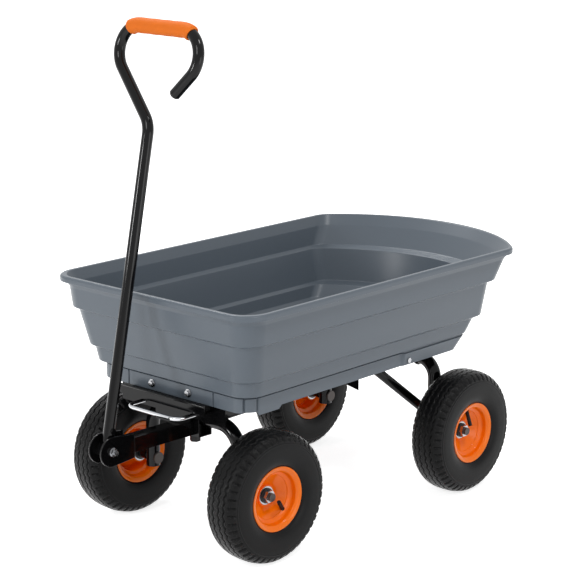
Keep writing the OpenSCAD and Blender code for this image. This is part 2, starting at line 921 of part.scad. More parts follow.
// Handle: a tube that rises from the fork and bends round into an open loop; drawn flat, x across and y along
handle_in = handle_r - handle_wall;
loop_x = loop_half_w - loop_bend_r;
loop_y = loop_top - loop_bend_r;
loop_span = [loop_x, loop_y - loop_foot];
loop_turn = atan2(loop_span[0], loop_span[1]) + asin(loop_bend_r / norm(loop_span));
foot_run = loop_bend_r * tan(loop_turn / 2);
arm_dir = [sin(loop_turn), cos(loop_turn)];
arm_start = [0, loop_foot] + foot_run * arm_dir;
arm_end = [loop_x, loop_y] + loop_bend_r * [cos(loop_turn), -sin(loop_turn)];
tail_start = [-arm_end[0], arm_end[1]];
tail_dir = [arm_dir[0], -arm_dir[1]];
tail_end = tail_start + loop_tail * tail_dir;
bend_swell = 0.15;
bend_lap = 0.4;
eye_r = 13.5;
grip_wrap = 30;
wrap_over = 3;
cap_t = 3;
cap_plug = 14;
screw_up = 38;
screw_r = 3;

module handle_frame() {
    steered()
        translate([-draw_l, 0, draw_z])
            rotate([0, handle_lean, 0])
                rotate([90, 0, 90])
                    children();
}

// A straight stretch, which runs a little into the bends at both its ends
module run(from, to, r) {
    v = to - from;
    translate([from[0], from[1], 0])
        rotate([0, 0, atan2(v[1], v[0])])
            rotate([0, 90, 0])
                translate([0, 0, -bend_lap])
                    cylinder(h = norm(v) + 2 * bend_lap, r = r);
}

// A solid bend about a centre, from an angle on, a hair thicker than the stretches that enter it
module bend(centre, start, turn, r) {
    translate([centre[0], centre[1], 0])
        rotate([0, 0, start])
            rotate_extrude(angle = turn)
                translate([loop_bend_r, 0])
                    circle(r = r + bend_swell);
}

module handle_path(r, end) {
    run([0, 0], [0, loop_foot - foot_run], r);
    bend([loop_bend_r, loop_foot - foot_run], 180 - loop_turn, loop_turn, r);
    run(arm_start, arm_end, r);
    bend([loop_x, loop_y], -loop_turn, 90 + loop_turn, r);
    run([loop_x, loop_top], [-loop_x, loop_top], r);
    bend([-loop_x, loop_y], 90, 90 + loop_turn, r);
    run(tail_start, tail_end + end * tail_dir, r);
}

module grip_path(r, wrap) {
    bend([loop_x, loop_y], 90 - wrap, wrap, r);
    run([loop_x, loop_top], [-loop_x, loop_top], r);
    bend([-loop_x, loop_y], 90, wrap, r);
}

module handle_tube() {
    color(frame_black) handle_frame() difference() {
        handle_path(handle_r, -bend_lap);
        handle_path(handle_in, over);
        rotate([0, 90, 0])
            translate([0, 0, -handle_d])
                cylinder(h = 2 * handle_d, r = eye_r + seat_gap);
        translate([-handle_d, screw_up, 0])
            rotate([0, 90, 0])
                cylinder(h = 2 * handle_d, r = screw_r + seat_gap);
    }
}

module handle_eye() {
    l = draw_w - 2 * face_gap;
    color(frame_black) handle_frame()
        translate([-l / 2, 0, 0])
            rotate([0, 90, 0])
                ring(l, eye_r, pin_r + run_gap);
}

module handle_grip() {
    color(grip_orange) handle_frame() difference() {
        grip_path(grip_d / 2, grip_wrap);
        grip_path(handle_r + face_gap, grip_wrap + wrap_over);
    }
}

module handle_cap() {
    color(frame_black) handle_frame()
        translate([tail_end[0], tail_end[1], 0])
            rotate([0, 0, loop_turn - 90])
                rotate([0, 90, 0]) {
                    translate([0, 0, -cap_plug])
                        cylinder(h = cap_plug + eps, r = handle_in - seat_gap);
                    cylinder(h = cap_t, r1 = handle_r, r2 = handle_in);
                }
}

module shaft_screw() {
    color(frame_black) handle_frame()
        translate([-handle_r - seat_gap, screw_up, 0])
            rotate([0, -90, 0])
                hex_bolt(bolt_af, screw_r, screw_r, handle_d);
}

// Latch: a bail pulled forward against two springs
bail_r = bail_d / 2;
bail_bend_r = 20;
bail_x = cross_x - bail_out;
pin_clear = 3;
bail_tip = bail_travel - sheet_t - pin_clear;
collar_r = 8;
collar_t = 3;
spring_l = 25;
spring_mean_r = 6.6;
spring_x = cross_x + cross_t;

module bail() {
    arm_x = bail_x + bail_bend_r;
    arm_l = tongue_x + sheet_t + bail_tip - arm_x;
    bar = bail_w / 2 - bail_bend_r;
    color(zinc) cart() translate([0, 0, bail_z]) {
        translate([bail_x, -bar, 0])
            lay_y()
                cylinder(h = 2 * bar, r = bail_r);
        both_sides() {
            translate([arm_x, bar, 0])
                rotate([0, 0, 90])
                    rotate_extrude(angle = 90)
                        translate([bail_bend_r, 0])
                            circle(r = bail_r);
            translate([arm_x, bail_w / 2, 0])
                rotate([0, 90, 0])
                    cylinder(h = arm_l, r = bail_r);
        }
    }
}

module bail_collars() {
    color(zinc) cart() both_sides()
        translate([spring_x + spring_l + 2 * face_gap, bail_w / 2, bail_z])
            rotate([0, 90, 0])
                ring(collar_t, collar_r, bail_r + seat_gap);
}

// Latch spring: one tube swept along a helix
spring_rings = 8;
spring_sides = 6;
spring_n = spring_turns * spring_rings;
spring_pitch = (spring_l - spring_wire) / spring_turns;

function coil_point(i) =
    let (a = 360 * i / spring_rings)
        [spring_wire / 2 + face_gap + spring_pitch * i / spring_rings, spring_mean_r * cos(a), spring_mean_r * sin(a)];

function coil_ring(i) =
    let (
        a = 360 * i / spring_rings,
        c = coil_point(i),
        out = [0, cos(a), sin(a)],
        rise = spring_pitch / (2 * PI * spring_mean_r),
        side = [1, rise * sin(a), -rise * cos(a)] / norm([1, rise])
    )
    [for (k = [0 : spring_sides - 1])
        let (b = 360 * k / spring_sides)
            c + spring_wire / 2 * (cos(b) * out + sin(b) * side)];

coil_gap = min([
    for (i = [0 : spring_n - spring_rings])
        for (k = [-1 : 1])
            norm(coil_point(i + spring_rings + k) - coil_point(i)) - spring_wire
]);
echo("least gap between turns of a latch spring", coil_gap);

module latch_springs() {
    color(zinc) cart() for (s = [-1, 1])
        translate([spring_x, s * bail_w / 2, bail_z])
            ring_stack([for (i = [0 : spring_n]) coil_ring(i)]);
}

// Wheel: drawn on its axis, with the outer face upwards
section_points = 28;
section_power = 3;
rim_r = rim_d / 2;
rim_z = rim_w / 2;
flange_h = 9.5;
flange_in = 5.5;
seat_r = rim_r - flange_h;
seat_z = rim_z - flange_in;
seat_l = 10;
well_deep = 8.5;
well_r = seat_r - well_deep;
well_z = seat_z - seat_l - rim_t * 2;
web_z = -2.5;
web_rise = 15.5;
hub_wall = 2.5;
hub_r = bearing_d / 2 + seat_gap;
bearing_l = 11;
shield_in = 11.5;
shield_out = 15.5;
shield_deep = 0.8;
bead_r = seat_r + seat_gap + rim_t / 2;
casing = 6;
tread_w_share = 0.5;
tread_reach_share = 0.3;
tread_skew = 14;
gap_w = PI * wheel_d / tread_count * tread_w_share / 2;
tube_wall = 2;
stem_r = 4;
stem_bore = 1.5;
stem_in = 2;
stem_lean = 23;
stem_l = 33;
stem_knuckle = 0.4;
stem_root = [bead_r + 2 * casing, 0];
stem_knee = [well_r - stem_in, well_z];
front_stem = 315;
rear_stem = 86;

function signed_power(v, e) = sign(v) * pow(abs(v), e);

// Rounded box section of a tyre: a superellipse about the middle of its height
function section(inset) =
    let (
        mid = (wheel_r + bead_r) / 2,
        high = (wheel_r - bead_r) / 2 - inset,
        wide = tyre_w / 2 - inset
    )
    [for (i = [0 : section_points - 1])
        let (a = 360 * i / section_points)
            [mid + high * signed_power(cos(a), 2 / section_power), wide * signed_power(sin(a), 2 / section_power)]];

module on_wheel(s, track) {
    translate([0, s * track / 2, wheel_r])
        rotate([-90 * s, 0, 0])
            children();
}

rim_dish = [
    [rim_r - rim_t, rim_z],
    [seat_r + rim_t / 2, seat_z + rim_t * 1.5],
    [seat_r - rim_t, seat_z],
    [seat_r - rim_t, seat_z - seat_l],
    [well_r - rim_t, well_z + rim_t / 2]
];
rim_seat = [
    [rim_r, rim_z],
    [rim_r, rim_z - rim_t],
    [seat_r + rim_t, seat_z + rim_t / 2],
    [seat_r, seat_z - rim_t],
    [seat_r, seat_z - seat_l],
    [well_r, well_z]
];

function below(p) = [for (q = p) [q[0], -q[1]]];

function backwards(p) = [for (i = [len(p) - 1 : -1 : 0]) p[i]];

// A rod between two points that are given as radius and height
module spoke_rod(a, b, r) {
    run = b - a;
    translate([a[0], 0, a[1]])
        rotate([0, atan2(run[0], run[1]), 0])
            cylinder(h = norm(run), r = r);
}

// The way of the valve stem: from the inner tube through the well, then over the dish towards the hub
module stem_way(angle, r, l) {
    rotate([0, 0, angle]) {
        spoke_rod(stem_root, stem_knee, r);
        translate([stem_knee[0], 0, stem_knee[1]])
            sphere(r = r + stem_knuckle);
        spoke_rod(stem_knee, stem_knee + l * [-cos(stem_lean), sin(stem_lean)], r);
    }
}

module rim_shape(angle) {
    hub_o = hub_r + hub_wall;
    wall_r = well_r - rim_t;
    difference() {
        rotate_extrude()
            polygon(concat(
                rim_seat,
                backwards(below(rim_seat)),
                below(rim_dish),
                [
                    [wall_r, web_z + web_rise - rim_t],
                    [hub_o, web_z - rim_t],
                    [hub_o, -hub_in],
                    [hub_r, -hub_in],
                    [hub_r, hub_out],
                    [hub_o, hub_out],
                    [hub_o, web_z],
                    [wall_r, web_z + web_rise]
                ],
                backwards(rim_dish)
            ));
        stem_way(angle, stem_r + seat_gap, stem_l);
    }
}

module tyre_shape() {
    reach = tyre_w * tread_reach_share;
    difference() {
        rotate_extrude()
            difference() {
                polygon(section(0));
                polygon(section(casing));
                translate([bead_r - over, -well_z])
                    square([2 * casing, 2 * well_z]);
                polygon(concat(
                    [for (p = rim_seat) p + seat_gap * [1, p[0] > seat_r + rim_t ? -1 : 0]],
                    [for (p = backwards(below(rim_seat))) p + seat_gap * [1, p[0] > seat_r + rim_t ? 1 : 0]],
                    [[0, -rim_z], [0, rim_z]]
                ));
            }
        for (s = [-1, 1])
            for (i = [0 : tread_count - 1])
                rotate([0, 0, 360 * (i + s / 4) / tread_count])
                    translate([wheel_r - tread_depth, 0, s * (tyre_w / 2 - reach)])
                        rotate([s * tread_skew, 0, 0])
                            translate([0, -gap_w / 2, s > 0 ? 0 : -reach - over])
                                cube([tread_depth + over, gap_w, reach + over]);
    }
}

module inner_tube_shape(angle) {
    difference() {
        union() {
            rotate_extrude()
                polygon(section(casing + face_gap));
            stem_way(angle, stem_r, stem_l);
        }
        rotate_extrude()
            polygon(section(casing + face_gap + tube_wall));
        // The air hole runs straight on through the bend
        rotate([0, 0, angle])
            spoke_rod(stem_root, 2 * stem_knee - stem_root, stem_bore);
    }
}

module bearing_shape() {
    for (z = [-hub_in, hub_out - bearing_l])
        translate([0, 0, z])
            difference() {
                ring(bearing_l, bearing_d / 2, axle_r + run_gap);
                for (f = [-shield_deep, bearing_l - shield_deep])
                    translate([0, 0, f])
                        ring(2 * shield_deep, shield_out, shield_in);
            }
}

module front_wheel(s) {
    steered() on_wheel(s, front_track)
        children();
}

module rear_wheel(s) {
    rear() on_wheel(s, rear_track)
        children();
}

module front_left_tyre() {
    color(rubber_black) front_wheel(-1) tyre_shape();
}

module front_left_rim() {
    color(rim_orange) front_wheel(-1) rim_shape(front_stem);
}

module front_left_bearings() {
    color(zinc) front_wheel(-1) bearing_shape();
}

module front_left_inner_tube() {
    color(rubber_black) front_wheel(-1) inner_tube_shape(front_stem);
}

module front_right_tyre() {
    color(rubber_black) front_wheel(1) tyre_shape();
}

module front_right_rim() {
    color(rim_orange) front_wheel(1) rim_shape(-front_stem);
}

module front_right_bearings() {
    color(zinc) front_wheel(1) bearing_shape();
}

module front_right_inner_tube() {
    color(rubber_black) front_wheel(1) inner_tube_shape(-front_stem);
}

module rear_left_tyre() {
    color(rubber_black) rear_wheel(-1) tyre_shape();
}

module rear_left_rim() {
    color(rim_orange) rear_wheel(-1) rim_shape(rear_stem);
}

module rear_left_bearings() {
    color(zinc) rear_wheel(-1) bearing_shape();
}

module rear_left_inner_tube() {
    color(rubber_black) rear_wheel(-1) inner_tube_shape(rear_stem);
}

module rear_right_tyre() {
    color(rubber_black) rear_wheel(1) tyre_shape();
}

module rear_right_rim() {
    color(rim_orange) rear_wheel(1) rim_shape(-rear_stem);
}

module rear_right_bearings() {
    color(zinc) rear_wheel(1) bearing_shape();
}

module rear_right_inner_tube() {
    color(rubber_black) rear_wheel(1) inner_tube_shape(-rear_stem);
}

// Pieces that come in pairs on the two rails and axles
module left_rail() {
    rail(-1);
}

module right_rail() {
    rail(1);
}

module rear_stub_axles() {
    rear() stub_axles(rear_track);
}

module rear_spacers() {
    rear() spacers(rear_track);
}

module rear_washers() {
    rear() axle_washers(rear_track);
}

module rear_axle_nuts() {
    rear() axle_nuts(rear_track);
}

module front_stub_axles() {
    steered() stub_axles(front_track);
}

module front_spacers() {
    steered() spacers(front_track);
}

module front_washers() {
    steered() axle_washers(front_track);
}

module front_axle_nuts() {
    steered() axle_nuts(front_track);
}

tub();
tub_crossbar();
crossbar_bolts();
latch_keeper();
keeper_bolts();
hinge_brackets();
hinge_bolts();
left_rail();
right_rail();
front_crossmember();
turntable_plate();
rear_arch();
rear_stub_axles();
rear_braces();
pivot_ears();
pivot_rod();
pivot_nuts();
rubber_pads();
kingpin();
kingpin_washer();
kingpin_nut();
rear_spacers();
rear_washers();
rear_axle_nuts();
latch_springs();
bail();
bail_collars();
front_arch();
axle_saddle();
thrust_washer();
drawbar();
drawbar_fork();
front_stub_axles();
front_spacers();
front_washers();
front_axle_nuts();
handle_bolt();
handle_nut();
handle_tube();
handle_eye();
handle_grip();
handle_cap();
shaft_screw();
front_left_tyre();
front_left_rim();
front_left_bearings();
front_left_inner_tube();
front_right_tyre();
front_right_rim();
front_right_bearings();
front_right_inner_tube();
rear_left_tyre();
rear_left_rim();
rear_left_bearings();
rear_left_inner_tube();
rear_right_tyre();
rear_right_rim();
rear_right_bearings();
rear_right_inner_tube();
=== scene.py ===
import json
import math

import bpy
import numpy as np
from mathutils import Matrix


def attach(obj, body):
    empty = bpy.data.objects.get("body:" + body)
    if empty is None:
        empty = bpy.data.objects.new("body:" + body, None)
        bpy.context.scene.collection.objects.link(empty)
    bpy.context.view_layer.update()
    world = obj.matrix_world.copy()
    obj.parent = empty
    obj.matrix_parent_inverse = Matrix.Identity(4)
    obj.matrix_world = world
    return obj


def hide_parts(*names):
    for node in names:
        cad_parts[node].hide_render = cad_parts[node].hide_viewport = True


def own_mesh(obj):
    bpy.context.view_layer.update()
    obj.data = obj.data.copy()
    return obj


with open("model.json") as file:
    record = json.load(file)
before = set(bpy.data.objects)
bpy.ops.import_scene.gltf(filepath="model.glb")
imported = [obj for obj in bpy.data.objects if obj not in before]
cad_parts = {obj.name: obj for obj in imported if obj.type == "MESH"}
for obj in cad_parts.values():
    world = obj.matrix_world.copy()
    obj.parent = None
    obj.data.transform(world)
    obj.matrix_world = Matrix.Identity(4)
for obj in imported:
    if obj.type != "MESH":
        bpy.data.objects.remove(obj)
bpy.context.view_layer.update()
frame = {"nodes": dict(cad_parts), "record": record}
nodes = frame["nodes"]
scene = bpy.context.scene

# main sizes of the cart, in metres, before the shift to the row's origin
cart = {
    "midX": 0.273183,
    "steer": math.radians(-2.87),
    "wheelRadius": 0.130,
    "wheelbase": 0.563,
    "frontTrack": 0.398,
    "rearTrack": 0.450,
    "drawLength": 0.224,
    "drawHeight": 0.226,
    "handleLean": math.radians(11.1),
}
wheelNames = ["front_left", "front_right", "rear_left", "rear_right"]


# mesh helpers


def toRow(points):  # cart frame to row frame: slide back by midX
    return points - np.array([cart["midX"], 0.0, 0.0])


def turnZ(points, angle):  # turn about the vertical axis
    c, s = math.cos(angle), math.sin(angle)
    return points @ np.array([[c, s, 0.0], [-s, c, 0.0], [0.0, 0.0, 1.0]])


def steered(points):  # front axle frame to row frame
    return toRow(turnZ(points, cart["steer"]))


def gridFaces(rows, cols, closeRows, closeCols):  # quads between neighbouring rows and columns of a grid
    i = np.arange(rows if closeRows else rows - 1)
    j = np.arange(cols if closeCols else cols - 1)
    i, j = np.meshgrid(i, j, indexing="ij")
    k, l = (i + 1) % rows, (j + 1) % cols
    return np.stack([i * cols + j, i * cols + l, k * cols + l, k * cols + j], -1).reshape(-1, 4)


def makePiece(name, grids, material, body, stands=(), sharp=None):
    # joins one or more point grids into a mesh; each grid is (points, closeRows, closeCols, flip, capEnds)
    points, quads, caps, base = [], [], [], 0
    for grid, closeRows, closeCols, flip, capEnds in grids:
        rows, cols = grid.shape[:2]
        faces = gridFaces(rows, cols, closeRows, closeCols) + base
        quads.append(faces[:, ::-1] if flip else faces)
        points.append(grid.reshape(-1, 3))
        if capEnds:
            first = np.arange(cols) + base
            last = first + (rows - 1) * cols
            ends = (first, last[::-1]) if flip else (first[::-1], last)
            caps += [end.tolist() for end in ends]
        base += rows * cols
    mesh = bpy.data.meshes.new(name)
    mesh.from_pydata(np.concatenate(points).tolist(), [], np.concatenate(quads).tolist() + caps)
    mesh.update()
    mesh.polygons.foreach_set("use_smooth", np.ones(len(mesh.polygons), dtype=bool))
    piece = bpy.data.objects.new(name, mesh)
    scene.collection.objects.link(piece)
    mesh.materials.append(material)
    if sharp is not None:
        mesh.set_sharp_from_angle(angle=math.radians(sharp))
    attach(piece, body)
    if stands:
        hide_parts(*stands)
    return piece


cornerShare = 0.45  # of the shorter side, the most that a rounded corner takes


def softProfile(points, cut, steps=5):
    # rounds each inner corner of a polyline with a short parabola that leaves both sides at most `cut` away
    p = np.asarray(points, dtype=float)
    before, here, after = p[:-2], p[1:-1], p[2:]
    toBefore, toAfter = before - here, after - here
    lenBefore = np.linalg.norm(toBefore, axis=1, keepdims=True)
    lenAfter = np.linalg.norm(toAfter, axis=1, keepdims=True)
    reach = np.minimum(np.minimum(lenBefore, lenAfter) * cornerShare, cut)
    a = here + toBefore / lenBefore * reach
    b = here + toAfter / lenAfter * reach
    t = np.linspace(0.0, 1.0, steps)[None, :, None]
    arcs = (1 - t) ** 2 * a[:, None] + 2 * t * (1 - t) * here[:, None] + t ** 2 * b[:, None]
    return np.concatenate([p[:1], arcs.reshape(-1, p.shape[1]), p[-1:]])


def softLoop(points, cut, steps=5):  # the same for a closed polyline
    p = np.asarray(points, dtype=float)
    return softProfile(np.concatenate([p[-1:], p, p[:1]]), cut, steps)[1:-1]


def revolve(profile, around):  # carries (radius, height) round the local Z axis in equal turns
    a = np.linspace(0.0, 2 * math.pi, around, endpoint=False)[:, None]
    r, h = profile[None, :, 0], profile[None, :, 1]
    return np.stack([r * np.cos(a), r * np.sin(a), np.broadcast_to(h, (around, len(profile)))], -1)


steepest = 0.95  # a path whose rise stays under this takes the vertical as its guide


def tubeAlong(path, radius, sides):
    # a ring of `sides` points carried along a path, square to it, with one side kept level to the guide
    path = np.asarray(path, dtype=float)
    tangent = np.gradient(path, axis=0)
    tangent /= np.linalg.norm(tangent, axis=1, keepdims=True)
    level = abs(tangent[:, 2]).max() < steepest
    guide = np.array([0.0, 0.0, 1.0]) if level else np.array([1.0, 0.0, 0.0])
    side = np.cross(tangent, guide)
    side /= np.linalg.norm(side, axis=1, keepdims=True)
    up = np.cross(side, tangent)
    a = np.linspace(0.0, 2 * math.pi, sides, endpoint=False)[None, :, None]
    r = np.broadcast_to(np.asarray(radius, dtype=float), (len(path),))[:, None, None]
    return path[:, None] + r * (np.cos(a) * side[:, None] + np.sin(a) * up[:, None])


def smoothStep(low, high, v):  # 0 below low, 1 above high, and a cubic between
    t = np.clip((v - low) / (high - low), 0.0, 1.0)
    return t * t * (3 - 2 * t)


# finishes


def addGroup(name, inputs, outputs):
    group = bpy.data.node_groups.new(name, "ShaderNodeTree")
    for label, kind, value in inputs:
        group.interface.new_socket(label, in_out="INPUT", socket_type=kind).default_value = value
    for label, kind in outputs:
        group.interface.new_socket(label, in_out="OUTPUT", socket_type=kind)
    return group, group.nodes.new("NodeGroupInput"), group.nodes.new("NodeGroupOutput")


def addNode(tree, kind, **sockets):
    node = tree.nodes.new(kind)
    for label, value in sockets.items():
        node.inputs[label.replace("_", " ")].default_value = value
    return node


grainNoise = {"fineDetail": 3.0, "fineRough": 0.6, "broadDetail": 4.0, "broadRough": 0.55, "middle": 0.5}


def makeGrainGroup():
    # two noises on Object coordinates: a broad one shifts tone and roughness, a fine one is a bump's height
    group, enter, leave = addGroup(
        "surfaceGrain",
        [("Color", "NodeSocketColor", (0.5, 0.5, 0.5, 1)), ("Fine Scale", "NodeSocketFloat", 900.0),
         ("Broad Scale", "NodeSocketFloat", 9.0), ("Tone", "NodeSocketFloat", 0.06),
         ("Roughness", "NodeSocketFloat", 0.4), ("Rough Change", "NodeSocketFloat", 0.08)],
        [("Color", "NodeSocketColor"), ("Roughness", "NodeSocketFloat"), ("Height", "NodeSocketFloat")])
    place = group.nodes.new("ShaderNodeTexCoord")
    fine = addNode(group, "ShaderNodeTexNoise", Detail=grainNoise["fineDetail"],
                   Roughness=grainNoise["fineRough"])
    broad = addNode(group, "ShaderNodeTexNoise", Detail=grainNoise["broadDetail"],
                    Roughness=grainNoise["broadRough"])
    group.links.new(place.outputs["Object"], fine.inputs["Vector"])
    group.links.new(place.outputs["Object"], broad.inputs["Vector"])
    group.links.new(enter.outputs["Fine Scale"], fine.inputs["Scale"])
    group.links.new(enter.outputs["Broad Scale"], broad.inputs["Scale"])
    centred = addNode(group, "ShaderNodeMath")
    centred.operation = "SUBTRACT"
    centred.inputs[1].default_value = grainNoise["middle"]
    group.links.new(broad.outputs["Fac"], centred.inputs[0])
    toned = addNode(group, "ShaderNodeMath")
    toned.operation = "MULTIPLY_ADD"
    toned.inputs[2].default_value = 1.0
    group.links.new(centred.outputs[0], toned.inputs[0])
    group.links.new(enter.outputs["Tone"], toned.inputs[1])
    shade = group.nodes.new("ShaderNodeVectorMath")
    shade.operation = "SCALE"
    group.links.new(enter.outputs["Color"], shade.inputs[0])
    group.links.new(toned.outputs[0], shade.inputs["Scale"])
    rough = addNode(group, "ShaderNodeMath")
    rough.operation = "MULTIPLY_ADD"
    group.links.new(centred.outputs[0], rough.inputs[0])
    group.links.new(enter.outputs["Rough Change"], rough.inputs[1])
    group.links.new(enter.outputs["Roughness"], rough.inputs[2])
    group.links.new(shade.outputs[0], leave.inputs["Color"])
    group.links.new(rough.outputs[0], leave.inputs["Roughness"])
    group.links.new(fine.outputs["Fac"], leave.inputs["Height"])
    return group


grainGroup = makeGrainGroup()


plainFinish = {"fine": 900.0, "broad": 9.0, "tone": 0.1, "roughChange": 0.1, "bump": 0.1, "depth": 0.0003,
               "metal": 0.0, "specular": 0.5}


def makeFinish(name, own):
    # one Principled surface with the shared grain: tone, roughness and a fine bump
    look = {**plainFinish, **own}
    material = bpy.data.materials.new(name)
    material.use_nodes = True
    tree = material.node_tree
    shader = tree.nodes["Principled BSDF"]
    grain = tree.nodes.new("ShaderNodeGroup")
    grain.node_tree = grainGroup
    grain.inputs["Color"].default_value = (*look["color"], 1)
    grain.inputs["Fine Scale"].default_value = look["fine"]
    grain.inputs["Broad Scale"].default_value = look["broad"]
    grain.inputs["Tone"].default_value = look["tone"]
    grain.inputs["Roughness"].default_value = look["rough"]
    grain.inputs["Rough Change"].default_value = look["roughChange"]
    bump = addNode(tree, "ShaderNodeBump", Strength=look["bump"], Distance=look["depth"])
    tree.links.new(grain.outputs["Color"], shader.inputs["Base Color"])
    tree.links.new(grain.outputs["Roughness"], shader.inputs["Roughness"])
    tree.links.new(grain.outputs["Height"], bump.inputs["Height"])
    tree.links.new(bump.outputs["Normal"], shader.inputs["Normal"])
    shader.inputs["Metallic"].default_value = look["metal"]
    shader.inputs["Specular IOR Level"].default_value = look["specular"]
    return material


finishes = {
    "tub_plastic": {
        "color": (0.110, 0.133, 0.159), "rough": 0.32, "roughChange": 0.10, "tone": 0.05, "broad": 5.0,
        "fine": 1500.0, "bump": 0.08, "depth": 0.0002, "specular": 0.36},
    "frame_paint": {
        "color": (0.0030, 0.0030, 0.0034), "rough": 0.10, "roughChange": 0.06, "tone": 0.2,
        "fine": 420.0, "bump": 0.06, "depth": 0.0003, "specular": 0.22},
    "zinc_steel": {
        "color": (0.42, 0.425, 0.44), "rough": 0.20, "roughChange": 0.22, "tone": 0.25, "broad": 60.0,
        "fine": 1400.0, "bump": 0.12, "metal": 1.0},
    "bail_chrome": {
        "color": (0.62, 0.63, 0.65), "rough": 0.10, "roughChange": 0.08, "tone": 0.06, "broad": 40.0,
        "fine": 900.0, "bump": 0.03, "metal": 1.0},
    "black_rubber": {
        "color": (0.006, 0.006, 0.006), "rough": 0.55, "tone": 0.3,
        "fine": 1200.0, "bump": 0.2, "specular": 0.20},
    "black_plastic": {
        "color": (0.006, 0.006, 0.007), "rough": 0.42, "tone": 0.2,
        "fine": 1500.0, "bump": 0.12, "specular": 0.20},
    "tyre_rubber": {
        "color": (0.0052, 0.0052, 0.0055), "rough": 0.36, "roughChange": 0.28, "tone": 0.7, "broad": 34.0,
        "fine": 620.0, "bump": 0.30, "depth": 0.0006, "specular": 0.12},
    "rim_paint": {
        "color": (0.98, 0.185, 0.002), "rough": 0.14, "roughChange": 0.08, "tone": 0.06, "broad": 14.0,
        "fine": 420.0, "bump": 0.04, "depth": 0.0003, "specular": 0.24},
    "grip_foam": {
        "color": (0.80, 0.172, 0.011), "rough": 0.72, "tone": 0.10, "broad": 45.0,
        "fine": 1100.0, "bump": 0.45, "depth": 0.0006, "specular": 0.25},
    "axle_end": {
        "color": (0.060, 0.050, 0.046), "rough": 0.34, "roughChange": 0.2, "tone": 0.5, "broad": 70.0,
        "fine": 700.0, "bump": 0.2, "metal": 0.5},
    "dark_washer": {
        "color": (0.030, 0.030, 0.032), "rough": 0.30, "roughChange": 0.2, "tone": 0.5, "broad": 60.0,
        "fine": 900.0, "bump": 0.1, "metal": 0.6},
}
# bare steel that the photo shows darker than the rest of its slot
darkSteel = {"front_stub_axles": "axle_end", "rear_stub_axles": "axle_end", "front_washers": "dark_washer",
             "rear_washers": "dark_washer"}
materials = {name: makeFinish(name + "Finish", look) for name, look in finishes.items()}
slotOf = {s["node"]: s["material_slot"] for s in frame["record"]["subparts"]}
for nodeName, obj in nodes.items():
    obj.data.materials.clear()
    obj.data.materials.append(materials[darkSteel.get(nodeName, slotOf[nodeName])])
print("stage: finishes on", len(nodes), "nodes")


# pressed and welded steel: a small round on every edge of the angular pieces, where lamps draw a thin line

steelEdge = {
    "round": 0.0009, "steps": 2, "merge": 0.00001, "angle": math.radians(35),
    "pieces": ["front_crossmember", "drawbar", "drawbar_fork", "axle_saddle", "latch_keeper", "tub_crossbar",
               "hinge_brackets", "pivot_ears", "left_rail", "right_rail", "turntable_plate"],
}


def roundSteelEdges(obj):
    obj.modifiers.new("joinSeams", "WELD").merge_threshold = steelEdge["merge"]
    edge = obj.modifiers.new("roundEdges", "BEVEL")
    edge.width, edge.segments = steelEdge["round"], steelEdge["steps"]
    edge.limit_method, edge.angle_limit = "ANGLE", steelEdge["angle"]
    edge.harden_normals = True


for nodeName in steelEdge["pieces"]:
    roundSteelEdges(nodes[nodeName])
print("stage: steel edges")


# tub: an outline of front, rounded corners, sides and bowed rear, set in level by level up the wall

tub = {
    "length": 0.932, "width": 0.542, "ahead": 0.132, "wall": 0.004, "floorWalls": 4,
    "bowRadius": 0.352, "frontCorner": 0.052, "rearCorner": 0.046, "cornerShrink": 0.21,
    "stepX": 0.382, "stepRun": 0.010, "footX": 0.021, "footRun": 0.008, "frontDrop": 0.002, "footDrop": 0.007,
    "slotY": 0.116, "slotHalf": 0.0015, "slotDeep": 0.0032, "bedUnder": 0.330,
    # columns across a slot, in half widths, and the way in of the two slots at a corner
    "slotColumns": [-4.0, -1.3, -1.0, -0.7, 0.7, 1.0, 1.3], "cornerSlotShare": 1.2,
    "cornerSlotWay": [0.75, -0.66], "footSlotWay": [0.25, -0.97],
    # height, inset of front and sides, of the sides behind the step in the skirt, of the rear
    "outer": [[0.303, 0.066, 0.063, 0.168], [0.329, 0.066, 0.058, 0.141], [0.3296, 0.0692, 0.0612, 0.1442],
              [0.3338, 0.0692, 0.0612, 0.1428], [0.3356, 0.055, 0.055, 0.135],
              [0.3645, 0.050, 0.050, 0.113], [0.3695, 0.042, 0.042, 0.090], [0.4415, 0.027, 0.027, 0.076],
              [0.4465, 0.018, 0.018, 0.055], [0.487, 0.014, 0.014, 0.026], [0.496, 0.010, 0.010, 0.014],
              [0.499, 0.0, 0.0, 0.0], [0.508, 0.0, 0.0, 0.0], [0.511, 0.003, 0.003, 0.003],
              [0.511, 0.010, 0.010, 0.010]],
    "inner": [[0.489, 0.018, 0.018, 0.030], [0.4485, 0.022, 0.022, 0.059], [0.4435, 0.031, 0.031, 0.080],
              [0.3715, 0.046, 0.046, 0.094], [0.3665, 0.054, 0.054, 0.117], [0.342, 0.059, 0.059, 0.139],
              [0.334, 0.067, 0.067, 0.147]],
    "edge": 0.0018,
}
# columns of half an outline, from the middle of the front to the middle of the rear
tubColumns = {"front": 11, "frontEnd": 5, "corner": 36, "foot": 8, "footRun": 4, "side": 24, "step": 6,
              "rearSide": 20, "rearCorner": 20, "bow": 48, "cornerDrop": 15, "cornerFoot": 4}
evenWeight = 80  # how far large faces lead the shading of a bent sheet


def between(a, b, count, ends=False):  # count columns from a towards b
    t = np.linspace(0.0, 1.0, count, endpoint=ends)[None, :]
    return a + (b - a) * t


